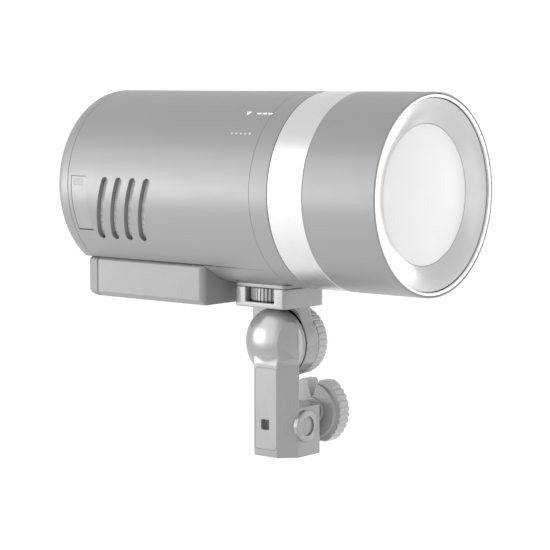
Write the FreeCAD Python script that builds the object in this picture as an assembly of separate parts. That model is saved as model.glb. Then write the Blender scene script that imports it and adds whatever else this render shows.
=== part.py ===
import FreeCAD, Part
import math
import os

# Battery monolight strobe on a tilting stand bracket, as separate pieces that fit together.
# Frame: +Z up, the lamp shines along -Y, the origin is the centre of the stand socket's mouth.
# Sizes are in millimetres. Angles on the lamp are measured from -X towards +Z.

V = FreeCAD.Vector

# ---------------------------------------------------------------- driving dimensions
LAMP_R = 44.5
LAMP_LENGTH = 188.7
LAMP_Z = 122.5
FRONT_Y = -81.2
REAR_Y = FRONT_Y + LAMP_LENGTH
WALL = 2.4
SHELL_BORE = LAMP_R - WALL
SEAM = 0.15

BARREL_END = FRONT_Y + 38.3
BARREL_BORE = 42.0
TAIL_R = 41.3
TAIL_BORE = 39.3
TAIL_END = BARREL_END + 11.4
RING_START = BARREL_END + SEAM
RING_END = RING_START + 19.25
RING_BORE = 41.65
FRAME_START = RING_END + SEAM
FRAME_END = FRAME_START + 10.05
FRAME_BORE = 36.6
SHELL_START = FRAME_END + 0.1
SHELL_END = 98.2
SPIGOT_R = SHELL_BORE - 0.2
SPIGOT_BORE = SPIGOT_R - 1.6

GLASS_R = 30.8
GLASS_DEPTH = 5.4
GLASS_RISE = 2.8
RIM_DEPTH = 2.1

VENT_COUNT = 4
VENT_PITCH = 8.8
VENT_WIDTH = 4.0
VENT_HEIGHT = 30.5
VENT_SLANT = 17.5
VENT_FIRST_Y = 51.8
VENT_MID_Z = LAMP_Z - 9.9

DECK_Z = 88.0
DECK_THICK = 5.0
BATTERY_HALF = 28.1
BATTERY_START = 27.9
BATTERY_END = 100.8
BATTERY_FLOOR = 69.0
CAP_START = 95.3
RAIL_X = 16.0

PANEL_BACK = 104.0
PANEL_THICK = 2.05
PANEL_R = 36.5
BUTTON_R = 4.1
BUTTON_SPOTS = {
    "power_button": (22.5, 113.5),
    "menu_button": (-22.5, 113.5),
    "test_button": (20.0, 100.5),
    "lamp_button": (-20.0, 100.5),
}
DIAL_Z = 109.0
DIAL_R = 10.8
SET_R = 5.0
WINDOW_HALF = 21.0
WINDOW_LOW = 127.0
WINDOW_HIGH = 149.0

COVER_LOW = -28.0
COVER_HIGH = 6.0
COVER_START = 86.6
COVER_END = 96.0
HINGE_R = 43.4
HINGE_ANGLE = COVER_LOW + 1.3
HINGE_BEAD_R = 0.95

PIVOT_Y = 3.1
PIVOT_Z = 52.0
HEAD_R = 16.2
EAR_R = 16.5
ARM_OUTER = -13.4
ARM_INNER = -6.0
HEAD_INNER = -4.0
EAR_NEAR = -3.3
EAR_FAR = 5.0
STEM_HALF = 10.7
ARM_BEVEL = 7.0
BLOCK_HEIGHT = 23.0
BLOCK_HALF = 13.4

SOCKET_R = 8.05
SOCKET_DEPTH = 19.0
CLAMP_Z = 18.0
CLAMP_BOLT_R = 3.9
PAD_R = 4.3
WING_R = 16.0
WING_NEAR = 17.0
WING_FAR = 25.0

YOKE_HALF = 14.4
YOKE_START = -9.2
YOKE_END = 20.8
YOKE_FLOOR = 68.6
YOKE_TOP = 77.9
PLATE_TOP = 79.7
FOOT_FLOOR = 80.5
WHEEL_Y = 5.8
WHEEL_R = 13.6
WHEEL_FLOOR = 71.4
WHEEL_TOP = 77.7
THREAD_R = 3.12

KNOB_R = 16.0
KNOB_NEAR = 5.95
KNOB_FAR = 13.0
KNOB_FLUTES = 32
BOLT_R = 3.93


# ---------------------------------------------------------------- shape helpers
def box(x0, x1, y0, y1, z0, z1):
    return Part.makeBox(x1 - x0, y1 - y0, z1 - z0, V(x0, y0, z0))


def rod_x(radius, x0, x1, y, z):
    return Part.makeCylinder(radius, x1 - x0, V(x0, y, z), V(1, 0, 0))


def rod_y(radius, y0, y1, x=0.0, z=LAMP_Z):
    return Part.makeCylinder(radius, y1 - y0, V(x, y0, z), V(0, 1, 0))


def rod_z(radius, z0, z1, x=0.0, y=0.0):
    return Part.makeCylinder(radius, z1 - z0, V(x, y, z0), V(0, 0, 1))


def tube_y(outer, inner, y0, y1, x=0.0, z=LAMP_Z):
    return rod_y(outer, y0, y1, x, z).cut(rod_y(inner, y0 - 1, y1 + 1, x, z))


def turned(profile, x=0.0, z=LAMP_Z):
    """Turns a closed profile of (radius, y) points about a line along Y.

    A point given as (radius, y, mid_radius, mid_y) is reached by an arc through its middle point.
    """
    edges = []
    last = V(x + profile[-1][0], profile[-1][1], z)
    for point in profile:
        here = V(x + point[0], point[1], z)
        if len(point) == 4:
            middle = V(x + point[2], point[3], z)
            edges.append(Part.Arc(last, middle, here).toShape())
        else:
            edges.append(Part.makeLine(last, here))
        last = here
    face = Part.Face(Part.Wire(edges))
    return face.revolve(V(x, 0, z), V(0, 1, 0), 360)


def plate_x(points, x0, x1):
    """A plate between two X values with an outline of (y, z) points."""
    loop = [V(x0, y, z) for y, z in points]
    return Part.Face(Part.makePolygon(loop + loop[:1])).extrude(V(x1 - x0, 0, 0))


def plate_z(points, z0, z1):
    """A plate between two Z values with an outline of (x, y) points."""
    loop = [V(x, y, z0) for x, y in points]
    return Part.Face(Part.makePolygon(loop + loop[:1])).extrude(V(0, 0, z1 - z0))


def hexagon_x(radius, x0, x1, y, z):
    corners = [math.radians(60 * i) for i in range(6)]
    return plate_x([(y + radius * math.cos(a), z + radius * math.sin(a)) for a in corners], x0, x1)


def wedge(low, high, y0, y1):
    """The sector of the lamp between two angles, measured from -X towards +Z."""
    reach = 70.0
    steps = [low + (high - low) * i / 3 for i in range(4)]
    points = [V(0, y0, LAMP_Z)]
    for step in steps:
        angle = math.radians(step)
        points.append(V(-reach * math.cos(angle), y0, LAMP_Z + reach * math.sin(angle)))
    return Part.Face(Part.makePolygon(points + points[:1])).extrude(V(0, y1 - y0, 0))


def mirrored(shape):
    return shape.mirror(V(0, 0, 0), V(1, 0, 0))


def rounded(shape, radius, chosen):
    return shape.makeFillet(radius, [edge for edge in shape.Edges if chosen(edge)])


def bevelled(shape, size, chosen):
    return shape.makeChamfer(size, [edge for edge in shape.Edges if chosen(edge)])


def runs_along(edge, axis):
    ends = edge.Vertexes
    if len(ends) < 2:
        return False
    step = ends[1].Point.sub(ends[0].Point)
    spare = [abs(step.x), abs(step.y), abs(step.z)]
    spare.pop("xyz".index(axis))
    return max(spare) < 1e-6


def fused(first, *others):
    return first.fuse(list(others)).removeSplitter()


def keep(name, shape):
    """Writes one node and prints its size, so that a bad solid is seen at once."""
    solids = shape.Solids
    if not solids or not all(solid.isValid() for solid in solids):
        raise ValueError(name + " is not a valid solid")
    shape = solids[0] if len(solids) == 1 else Part.makeCompound(solids)
    shape.exportStep("parts/" + name + ".step")
    print("%-20s %2d solids %10.1f mm3" % (name, len(solids), shape.Volume))


# ---------------------------------------------------------------- front: barrel, glass, lock ring
def front_barrel():
    step = FRONT_Y + RIM_DEPTH
    return turned([
        (43.7, FRONT_Y),
        (LAMP_R - 0.6, FRONT_Y),
        (LAMP_R, FRONT_Y + 0.6),
        (LAMP_R, BARREL_END),
        (TAIL_R, BARREL_END),
        (TAIL_R, TAIL_END),
        (TAIL_BORE, TAIL_END),
        (TAIL_BORE, BARREL_END - 3.0),
        (BARREL_BORE, BARREL_END - 5.0),
        (BARREL_BORE, step),
        (43.7, step),
    ])


def rim_ring():
    start = FRONT_Y + 0.1
    end = FRONT_Y + RIM_DEPTH
    return turned([(42.5, start), (43.6, start), (43.6, end), (42.1, end), (42.1, start + 0.4)])


def cone_reflector():
    edge = FRONT_Y + 1.4
    root = FRONT_Y + GLASS_DEPTH
    return turned([
        (BARREL_BORE - 0.1, edge),
        (BARREL_BORE - 0.1, FRONT_Y + 9.4),
        (BARREL_BORE - 1.1, FRONT_Y + 9.4),
        (BARREL_BORE - 1.1, edge + 1.4),
        (GLASS_R + 0.3, root + 0.9),
        (GLASS_R + 0.3, root),
    ])


def crown(radius, rise, tip, root, x=0.0, z=LAMP_Z):
    """A rod along Y whose end at tip is crowned by a sphere, rising above its rim by rise."""
    ball_r = (radius * radius + rise * rise) / (2 * rise)
    toward = 1 if tip > root else -1
    ball = Part.makeSphere(ball_r, V(x, tip - toward * ball_r, z))
    return rod_y(radius, min(tip, root) - 0.01, max(tip, root) + 0.01, x, z).common(ball)


def front_glass():
    """A disc of frosted glass, bowed outwards, with a flat flange behind the cone."""
    apex = FRONT_Y + GLASS_DEPTH + 0.6 - GLASS_RISE
    back = FRONT_Y + 8.4
    bowl = crown(GLASS_R, GLASS_RISE, apex, back)
    flange = rod_y(GLASS_R + 1.8, back - 2.0, back)
    hollow = crown(GLASS_R - 3.4, GLASS_RISE, back - GLASS_RISE, back + 1.0)
    return bowl.fuse(flange).cut([hollow, rod_y(40, back, back + 2.0)]).removeSplitter()


def glass_retainer():
    back = FRONT_Y + 8.5
    return tube_y(BARREL_BORE - 1.3, GLASS_R - 1.4, back, back + 1.6)


def lock_ring():
    return turned([
        (RING_BORE, RING_START),
        (LAMP_R - 0.4, RING_START),
        (LAMP_R, RING_START + 0.4),
        (LAMP_R, RING_END - 0.4),
        (LAMP_R - 0.4, RING_END),
        (RING_BORE, RING_END),
    ])


def front_frame():
    """Carries the lock ring on its shoulder; its nose pilots the barrel's tail."""
    shoulder_r = RING_BORE - 0.1
    shoulder = FRAME_START - 7.0
    nose = shoulder - 5.6
    return turned([
        (FRAME_BORE, nose),
        (TAIL_BORE - 0.2, nose),
        (TAIL_BORE - 0.2, shoulder),
        (shoulder_r, shoulder),
        (shoulder_r, FRAME_START),
        (LAMP_R, FRAME_START),
        (LAMP_R, FRAME_END),
        (SPIGOT_R, FRAME_END),
        (SPIGOT_R, FRAME_END + 3.5),
        (SPIGOT_BORE, FRAME_END + 3.5),
        (SPIGOT_BORE, FRAME_END - 1.0),
        (FRAME_BORE, FRAME_END - 2.5),
    ])


# ---------------------------------------------------------------- light engine behind the barrel
DISH_LIP = -37.2
DISH_HOLE_R = 12.2
TUBE_RING_R = 17.5
TUBE_R = 3.0
TUBE_Y = -28.5
TUBE_GAP = 30.0
BASE_START = -20.4
SINK_START = -13.8
SINK_R = 32.0


def tube_leg_spots():
    """The two ends of the ring-shaped flash tube, either side of its gap at the bottom."""
    spread = math.radians(TUBE_GAP / 2)
    for side in (-1, 1):
        yield side * TUBE_RING_R * math.sin(spread), LAMP_Z - TUBE_RING_R * math.cos(spread)


def reflector_dish():
    dish = turned([
        (38.9, DISH_LIP),
        (38.9, DISH_LIP + 1.1),
        (36.3, DISH_LIP + 1.1),
        (DISH_HOLE_R, BASE_START - 0.2, 31.6, -27.6),
        (DISH_HOLE_R, BASE_START - 1.3),
        (35.6, DISH_LIP, 30.6, -28.7),
    ])
    dish = dish.cut(rod_y(40, BASE_START - 0.2, SINK_START))
    for x, z in tube_leg_spots():
        dish = dish.cut(rod_y(2.4, DISH_LIP, BASE_START, x, z))
    return dish


def flash_tube():
    """A ring of quartz tube with a leg at each end that plugs into the ceramic base."""
    ring = Part.makeTorus(TUBE_RING_R, TUBE_R, V(0, 0, 0), V(0, 0, 1), -180, 180, 360 - TUBE_GAP)
    ring.rotate(V(0, 0, 0), V(0, 0, 1), TUBE_GAP / 2 - 90)
    ring.rotate(V(0, 0, 0), V(1, 0, 0), 90)
    ring.translate(V(0, TUBE_Y, LAMP_Z))
    legs = [rod_y(1.7, TUBE_Y, SINK_START - 0.8, x, z) for x, z in tube_leg_spots()]
    ends = [Part.makeSphere(TUBE_R, V(x, TUBE_Y, z)) for x, z in tube_leg_spots()]
    return ring.fuse(legs + ends)


def tube_base():
    base = rod_y(23.0, BASE_START, SINK_START)
    for x, z in tube_leg_spots():
        base = base.cut(rod_y(1.9, BASE_START - 1, SINK_START - 0.6, x, z))
    return base


def modelling_led():
    board = rod_y(11.5, BASE_START - 1.6, BASE_START)
    dome = Part.makeSphere(7.0, V(0, BASE_START + 1.2, LAMP_Z))
    dome = dome.common(rod_y(12.0, BASE_START - 8.0, BASE_START - 1.0))
    return fused(board, dome)


def heat_sink():
    fin_end = 4.0
    plate = rod_y(SINK_R, SINK_START, SINK_START + 4.0)
    fins = [box(x - 0.8, x + 0.8, SINK_START + 3.0, fin_end, LAMP_Z - 40, LAMP_Z + 40)
            for x in range(-28, 29, 7)]
    comb = Part.makeCompound(fins).common(rod_y(SINK_R, SINK_START, fin_end))
    return plate.fuse(comb.Solids).removeSplitter()


# ---------------------------------------------------------------- housing
def vent_slot(index):
    """One slanted slot through the -X wall; its top leans towards the front."""
    mid_y = VENT_FIRST_Y + index * VENT_PITCH
    straight = (VENT_HEIGHT - VENT_WIDTH) / 2
    half = VENT_WIDTH / 2
    slot = box(-60, -20, mid_y - half, mid_y + half, VENT_MID_Z - straight, VENT_MID_Z + straight)
    ends = [rod_x(half, -60, -20, mid_y, VENT_MID_Z + s * straight) for s in (-1, 1)]
    slot = slot.fuse(ends)
    slot.rotate(V(0, mid_y, VENT_MID_Z), V(1, 0, 0), VENT_SLANT)
    return slot


def housing_shell():
    shell = tube_y(LAMP_R, SHELL_BORE, SHELL_START, SHELL_END)
    shell = shell.cut(box(-60, 60, BATTERY_START - 0.1, SHELL_END + 1, 60, DECK_Z))
    shell = shell.cut(box(-YOKE_HALF, YOKE_HALF, YOKE_START, YOKE_END, 70, LAMP_Z - 20))
    for index in range(VENT_COUNT):
        slot = vent_slot(index)
        shell = shell.cut(slot).cut(mirrored(slot))
    opening = wedge(COVER_LOW - 0.4, COVER_HIGH + 0.4, COVER_START - 0.2, COVER_END + 0.2)
    return shell.cut(opening)


def vent_mesh():
    start = VENT_FIRST_Y - 12.0
    end = COVER_START - 0.8
    sheet = tube_y(SHELL_BORE - 0.1, SHELL_BORE - 0.8, start, end)
    left = sheet.common(wedge(-40, 12, start, end))
    return Part.makeCompound([left, mirrored(left)])


def rail_channels(y0, y1):
    """The two T-shaped channels in the deck that the battery's rails slide in."""
    cuts = []
    for side in (-1, 1):
        x = side * RAIL_X
        cuts.append(box(x - 1.9, x + 1.9, y0, y1, DECK_Z - 1, DECK_Z + 2))
        cuts.append(box(x - 3.9, x + 3.9, y0, y1, DECK_Z + 1.8, DECK_Z + 4.1))
    return cuts


def contact_spots():
    for x in (-6.0, -2.0, 2.0, 6.0):
        yield x, BATTERY_START + 7.0


def battery_deck():
    start = BATTERY_START - 2.1
    deck = box(-45, 45, start, SHELL_END - 0.1, DECK_Z, DECK_Z + DECK_THICK)
    wall = box(-45, 45, start, BATTERY_START - 0.2, 70, DECK_Z + DECK_THICK)
    deck = deck.fuse(wall).common(rod_y(SPIGOT_R, start, SHELL_END))
    deck = deck.cut(rail_channels(BATTERY_START + 0.6, SHELL_END + 1))
    deck = deck.cut([rod_z(1.1, 80, 100, x, y) for x, y in contact_spots()])
    return deck.removeSplitter()


def contact_pins():
    return Part.makeCompound([rod_z(1.0, DECK_Z + 0.1, DECK_Z + 7, x, y) for x, y in contact_spots()])


def rear_bezel():
    """The rear ring with a rounded edge, and a flat lip over the battery."""
    edge_r = 6.0
    tip = LAMP_R - edge_r
    bend = edge_r * math.sin(math.radians(45))
    ring = turned([
        (SPIGOT_R, SHELL_END + 0.1),
        (LAMP_R, SHELL_END + 0.1),
        (LAMP_R, REAR_Y - edge_r),
        (tip, REAR_Y, tip + bend, REAR_Y - edge_r + bend),
        (PANEL_R + 0.2, REAR_Y),
        (PANEL_R + 0.2, PANEL_BACK),
        (PANEL_R - 1.2, PANEL_BACK),
        (PANEL_R - 1.2, PANEL_BACK - 2.0),
        (SPIGOT_BORE, PANEL_BACK - 2.0),
        (SPIGOT_BORE, SHELL_END - 3.8),
        (SPIGOT_R, SHELL_END - 3.8),
    ])
    lip_top = DECK_Z + DECK_THICK + 0.2
    inner = rod_y(SPIGOT_BORE + 0.5, SHELL_END + 0.1, REAR_Y)
    lip = box(-40, 40, SHELL_END + 0.1, REAR_Y, DECK_Z, lip_top).common(inner)
    bezel = ring.cut(box(-60, 60, SHELL_END - 5, SHELL_END + 0.1, 60, lip_top))
    bezel = bezel.fuse(lip).cut(box(-60, 60, SHELL_END, REAR_Y + 1, 60, DECK_Z))
    return bezel.cut(rail_channels(SHELL_END, REAR_Y + 1)).removeSplitter()


def mount_foot():
    """The metal plate inside the housing that the bracket screws to."""
    start = YOKE_START + 0.1
    end = YOKE_END - 0.1
    lower = box(-YOKE_HALF + 0.1, YOKE_HALF - 0.1, start, end, FOOT_FLOOR, 85.5)
    upper = box(-18, 18, start, end, 84.9, 89)
    return fused(lower, upper).cut(rod_z(THREAD_R + 0.08, 80, 90, 0, WHEEL_Y))


# ---------------------------------------------------------------- electronics inside
BOARD_Z = 111.0
BOARD_THICK = 1.6
BOARD_TOP = BOARD_Z + BOARD_THICK
CAPACITOR_R = 12.4
FAN_START = 60.0
FAN_DEPTH = 10.0
FAN_HALF = 20.0
FAN_Z = BOARD_TOP + FAN_HALF


def main_board():
    return box(-35, 35, 7, 84, BOARD_Z, BOARD_TOP)


def capacitors():
    cans = []
    for side in (-1, 1):
        can = rod_y(CAPACITOR_R, 8, 56, side * 14, BOARD_TOP + CAPACITOR_R)
        cans.append(rounded(can, 1.2, lambda edge: edge.BoundBox.YLength < 1e-6))
    return Part.makeCompound(cans)


def charge_transformer():
    core = box(-14, 14, 58, 82, 96, BOARD_Z)
    return bevelled(core, 1.0, lambda edge: runs_along(edge, "z"))


def fan_frame():
    end = FAN_START + FAN_DEPTH
    frame = box(-FAN_HALF, FAN_HALF, FAN_START, end, BOARD_TOP, BOARD_TOP + 2 * FAN_HALF)
    frame = rounded(frame, 3.0, lambda edge: runs_along(edge, "y"))
    frame = frame.cut(rod_y(18.6, FAN_START - 1, end + 1, 0, FAN_Z))
    back = end - 2.0
    hub = rod_y(8.0, back, back + 2.0, 0, FAN_Z)
    pin = rod_y(1.5, FAN_START + 2.0, back + 1.0, 0, FAN_Z)
    struts = [box(-19.5, 19.5, back, back + 2, FAN_Z - 1, FAN_Z + 1),
              box(-1, 1, back, back + 2, FAN_Z - 19.5, FAN_Z + 19.5)]
    return fused(frame, hub, pin, *struts)


def fan_rotor():
    start = FAN_START + 0.8
    hub = rod_y(8.5, start, start + 6.6, 0, FAN_Z)
    blades = []
    for index in range(7):
        blade = box(-0.5, 0.5, start + 0.4, start + 6.2, 7.5, 18.0)
        blade.rotate(V(0, start + 3.3, 12), V(0, 0, 1), 38)
        blade.rotate(V(0, 0, 0), V(0, 1, 0), index * 360 / 7)
        blade.translate(V(0, 0, FAN_Z))
        blades.append(blade)
    reach = rod_y(18.1, start, start + 6.6, 0, FAN_Z)
    rotor = hub.fuse(blades).common(reach)
    return rotor.cut(rod_y(1.56, FAN_START, FAN_START + FAN_DEPTH, 0, FAN_Z)).removeSplitter()


def port_board():
    return box(-32.6, -31.0, 86.5, 96.5, 99, 127)


def usb_socket():
    return box(-39.0, -32.6, 87, 96, 117.6, 121.2).cut(box(-40, -33.6, 87.8, 95.2, 118.4, 120.4))


def sync_socket():
    return rod_x(3.6, -36.5, -32.6, 91.3, 107).cut(rod_x(1.75, -37, -33.2, 91.3, 107))


# ---------------------------------------------------------------- rear controls
def rear_panel():
    panel = rod_y(PANEL_R, PANEL_BACK, PANEL_BACK + PANEL_THICK)
    panel = panel.cut(box(-60, 60, 90, 120, 60, DECK_Z + DECK_THICK + 0.4))
    panel = panel.cut(rounded_window(WINDOW_HALF + 0.15, 0.15, 90, 120))
    panel = panel.cut(rod_y(DIAL_R + 0.25, 90, 120, 0, DIAL_Z))
    for x, z in BUTTON_SPOTS.values():
        panel = panel.cut(rod_y(BUTTON_R + 0.25, 90, 120, x, z))
    return panel


def rounded_window(half, grow, y0, y1):
    pane = box(-half, half, y0, y1, WINDOW_LOW - grow, WINDOW_HIGH + grow)
    return rounded(pane, 2.0, lambda edge: runs_along(edge, "y"))


def display_window():
    return rounded_window(WINDOW_HALF, 0.0, PANEL_BACK + 0.6, PANEL_BACK + PANEL_THICK)


def display_module():
    return box(-19.5, 19.5, PANEL_BACK - 2.8, PANEL_BACK + 0.5, WINDOW_LOW + 1.2, WINDOW_HIGH - 1.2)


def control_board():
    disc = rod_y(33.0, 98.6, 100.2)
    return disc.cut(box(-60, 60, 90, 110, 60, DECK_Z + DECK_THICK + 1.5))


def dial_encoder():
    return rod_y(6.5, 100.2, 102.1, 0, DIAL_Z)


def select_dial():
    face = REAR_Y + 0.3
    dial = turned([
        (SET_R + 0.25, 102.4),
        (8.0, 102.4),
        (8.0, 104.6),
        (DIAL_R, 104.6),
        (DIAL_R, face - 0.8),
        (DIAL_R - 0.8, face),
        (SET_R + 0.9, face),
        (SET_R + 0.25, face - 0.6),
    ], 0.0, DIAL_Z)
    teeth = 40
    flutes = []
    for index in range(teeth):
        angle = 2 * math.pi * index / teeth
        x = (DIAL_R + 0.15) * math.sin(angle)
        flutes.append(rod_y(0.4, 104, face + 1, x, DIAL_Z + (DIAL_R + 0.15) * math.cos(angle)))
    return dial.cut(flutes)


def press_button(x, z, radius, tip, flange):
    """A round button with a crowned top, and a flange behind the panel that holds it in."""
    body = crown(radius, 0.5, tip, 102.9, x, z)
    if not flange:
        return body
    return fused(body, rod_y(radius + 1.0, 102.5, PANEL_BACK - 0.2, x, z))


# ---------------------------------------------------------------- port cover
def port_cover():
    """A curved rubber door flush with the housing; it opens about the bead on its lower edge."""
    skin = tube_y(LAMP_R - 0.1, SHELL_BORE + 0.3, COVER_START, COVER_END)
    skin = skin.common(wedge(HINGE_ANGLE, COVER_HIGH, COVER_START, COVER_END))
    angle = math.radians(HINGE_ANGLE)
    x = -HINGE_R * math.cos(angle)
    return fused(skin, rod_y(HINGE_BEAD_R, COVER_START, COVER_END, x, LAMP_Z + HINGE_R * math.sin(angle)))


# ---------------------------------------------------------------- battery
def is_front_corner(edge):
    return runs_along(edge, "z") and edge.BoundBox.YMax < CAP_START - 1


def battery_case():
    top = DECK_Z - 0.1
    case = box(-BATTERY_HALF, BATTERY_HALF, BATTERY_START, CAP_START - 0.1, BATTERY_FLOOR, top)
    case = bevelled(case, 3.0, is_front_corner)
    case = bevelled(case, 1.2, lambda edge: edge.BoundBox.ZMax < BATTERY_FLOOR + 0.01
                    and edge.BoundBox.YMin < CAP_START - 1)
    wall = 2.0
    half = BATTERY_HALF - wall
    hollow = box(-half, half, BATTERY_START + wall, CAP_START, BATTERY_FLOOR + wall, top - wall)
    case = case.cut(bevelled(hollow, 2.5, is_front_corner))
    start = BATTERY_START + 1.6
    end = CAP_START - 2
    rails = []
    for side in (-1, 1):
        x = side * RAIL_X
        rails.append(box(x - 1.5, x + 1.5, start, end, top - 0.5, DECK_Z + 2.2))
        rails.append(box(x - 3.5, x + 3.5, start, end, DECK_Z + 2.1, DECK_Z + 3.8))
    case = fused(case, *rails)
    pads = [box(x - 1.3, x + 1.3, y - 3, y + 3, top - 0.5, top) for x, y in contact_spots()]
    return case.cut(pads)


def battery_contacts():
    top = DECK_Z - 0.1
    return Part.makeCompound([box(x - 1.25, x + 1.25, y - 2.95, y + 2.95, top - 0.45, top)
                              for x, y in contact_spots()])


def battery_end_cap():
    cap = box(-BATTERY_HALF, BATTERY_HALF, CAP_START, BATTERY_END, BATTERY_FLOOR, DECK_Z - 0.1)
    cap = rounded(cap, 4.0, lambda edge: edge.BoundBox.YMin > BATTERY_END - 0.01
                  and edge.BoundBox.ZMax < BATTERY_FLOOR + 0.01)
    cap = rounded(cap, 2.0, lambda edge: runs_along(edge, "z") and edge.BoundBox.YMin > BATTERY_END - 1)
    return cap.cut(box(-8.2, 8.2, CAP_START - 1, BATTERY_END + 1, 73.8, 82.2))


def battery_cells():
    cells = []
    for floor in (71.3, 78.6):
        cell = box(-24, 24, BATTERY_START + 3, 91.2, floor, floor + 6.9)
        cells.append(rounded(cell, 1.5, lambda edge: runs_along(edge, "y")))
    return Part.makeCompound(cells)


def battery_latch():
    face = box(-8, 8, CAP_START - 1, BATTERY_END + 0.6, 74, 82)
    face = rounded(face, 1.2, lambda edge: runs_along(edge, "y"))
    ribs = [box(-6, 6, BATTERY_END + 0.2, BATTERY_END + 1, z, z + 0.7) for z in (75.8, 77.6, 79.4)]
    flange = box(-9.2, 9.2, CAP_START - 1.7, CAP_START - 0.2, 72.8, 83.2)
    return fused(face.cut(ribs), flange)


# ---------------------------------------------------------------- yoke that carries the lamp
def mount_yoke():
    """The block under the housing with its thumbwheel pocket, and the tilting ear below it."""
    block = box(-YOKE_HALF, YOKE_HALF, YOKE_START, YOKE_END, YOKE_FLOOR, YOKE_TOP)
    block = bevelled(block, 2.0, lambda edge: runs_along(edge, "z"))
    block = rounded(block, 1.2, lambda edge: edge.BoundBox.ZMax < YOKE_FLOOR + 0.01)
    pocket = rod_z(WHEEL_R + 0.3, WHEEL_FLOOR - 0.2, YOKE_TOP + 1, 0, WHEEL_Y)
    window = box(-20, 20, WHEEL_Y - 8.4, WHEEL_Y + 8.4, WHEEL_FLOOR - 0.2, YOKE_TOP + 1)
    block = block.cut([pocket, window, rod_z(1.7, 70, 73, 0, WHEEL_Y)])
    for x, y in plate_screw_spots():
        block = block.cut(rod_z(1.25, 70, YOKE_TOP + 1, x, y))
    neck = plate_x([(YOKE_START + 1.5, YOKE_FLOOR + 1), (YOKE_END - 1.5, YOKE_FLOOR + 1),
                    (PIVOT_Y + EAR_R, PIVOT_Z), (PIVOT_Y - EAR_R, PIVOT_Z)], EAR_NEAR, EAR_FAR)
    ear = rod_x(EAR_R, EAR_NEAR, EAR_FAR, PIVOT_Y, PIVOT_Z)
    yoke = fused(block, neck, ear)
    return yoke.cut(rod_x(BOLT_R + 0.07, -20, 20, PIVOT_Y, PIVOT_Z))


def plate_screw_spots():
    for x in (-11.3, 11.3):
        yield x, YOKE_START + 3.2
        yield x, YOKE_END - 3.2


def yoke_plate():
    plate = box(-YOKE_HALF + 0.2, YOKE_HALF - 0.2, YOKE_START + 0.2, YOKE_END - 0.2, YOKE_TOP, PLATE_TOP)
    plate = bevelled(plate, 2.0, lambda edge: runs_along(edge, "z"))
    plate = plate.cut(rod_z(THREAD_R + 0.3, 70, 90, 0, WHEEL_Y))
    for x, y in plate_screw_spots():
        sink = Part.makeCone(1.25, 2.35, 1.3, V(x, y, PLATE_TOP - 1.3), V(0, 0, 1))
        plate = plate.cut([rod_z(1.25, 70, 90, x, y), sink])
    return plate


def plate_screws():
    screws = []
    for x, y in plate_screw_spots():
        head = Part.makeCone(1.15, 2.2, 1.2, V(x, y, PLATE_TOP - 1.25), V(0, 0, 1))
        screws.append(head.fuse(rod_z(1.15, 71, PLATE_TOP - 1.2, x, y)).removeSplitter())
    return Part.makeCompound(screws)


def yoke_pad():
    pad = box(-YOKE_HALF + 0.2, YOKE_HALF - 0.2, YOKE_START + 0.2, YOKE_END - 0.2, PLATE_TOP, FOOT_FLOOR)
    pad = bevelled(pad, 2.0, lambda edge: runs_along(edge, "z"))
    return pad.cut(rod_z(THREAD_R + 0.5, 70, 90, 0, WHEEL_Y))


def thumbwheel():
    wheel = rod_z(WHEEL_R, WHEEL_FLOOR, WHEEL_TOP, 0, WHEEL_Y)
    wheel = bevelled(wheel, 0.6, lambda edge: edge.BoundBox.ZLength < 1e-6)
    teeth = 44
    flutes = []
    for index in range(teeth):
        angle = 2 * math.pi * index / teeth
        x = (WHEEL_R + 0.2) * math.cos(angle)
        y = WHEEL_Y + (WHEEL_R + 0.2) * math.sin(angle)
        flutes.append(rod_z(0.6, WHEEL_FLOOR - 1, WHEEL_TOP + 1, x, y))
    return wheel.cut(flutes).cut(rod_z(THREAD_R + 0.05, 60, 90, 0, WHEEL_Y))


def mount_screw():
    return bevelled(rod_z(THREAD_R, WHEEL_FLOOR + 0.3, 87.5, 0, WHEEL_Y), 0.5,
                    lambda edge: edge.BoundBox.ZMin > 87)


# ---------------------------------------------------------------- stand bracket
def arm_outline():
    """Plan of the stem: flat outside, with a broad bevel on its front outer edge."""
    return [
        (ARM_OUTER, STEM_HALF),
        (ARM_OUTER, ARM_BEVEL - STEM_HALF),
        (ARM_OUTER + ARM_BEVEL, -STEM_HALF),
        (ARM_INNER, -STEM_HALF),
        (ARM_INNER, STEM_HALF),
    ]


def block_outline():
    return [
        (ARM_OUTER, STEM_HALF),
        (ARM_OUTER, ARM_BEVEL - STEM_HALF),
        (ARM_OUTER + ARM_BEVEL, -STEM_HALF),
        (BLOCK_HALF - 4.0, -STEM_HALF),
        (BLOCK_HALF, -STEM_HALF + 4.0),
        (BLOCK_HALF, STEM_HALF - 3.0),
        (BLOCK_HALF - 3.0, STEM_HALF),
    ]


PANEL_LOW = 3.5
PANEL_HIGH = 41.0
PANEL_FRONT = -3.2
PANEL_REAR = 9.2


BOSS_X = -1.5
BOSS_Z = 14.3
BOSS_R = 7.3
BOSS_RECESS_R = 4.6
BOSS_TIP = -STEM_HALF - 1.5


def arm_panel_blank(grow):
    pane = box(ARM_OUTER - 0.01, ARM_OUTER + 0.9 + grow, PANEL_FRONT - grow, PANEL_REAR + grow,
               PANEL_LOW - grow, PANEL_HIGH + grow)
    return rounded(pane, 1.5, lambda edge: runs_along(edge, "x"))


def head_facet():
    """The stem's bevel carried up through the head, which leaves a crescent of its rim."""
    step = ARM_OUTER + ARM_BEVEL
    return plate_z([(step - 14.0, 14.0 - STEM_HALF), (step, -STEM_HALF), (step, -30), (-30, -30)], 0, 80)


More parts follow.
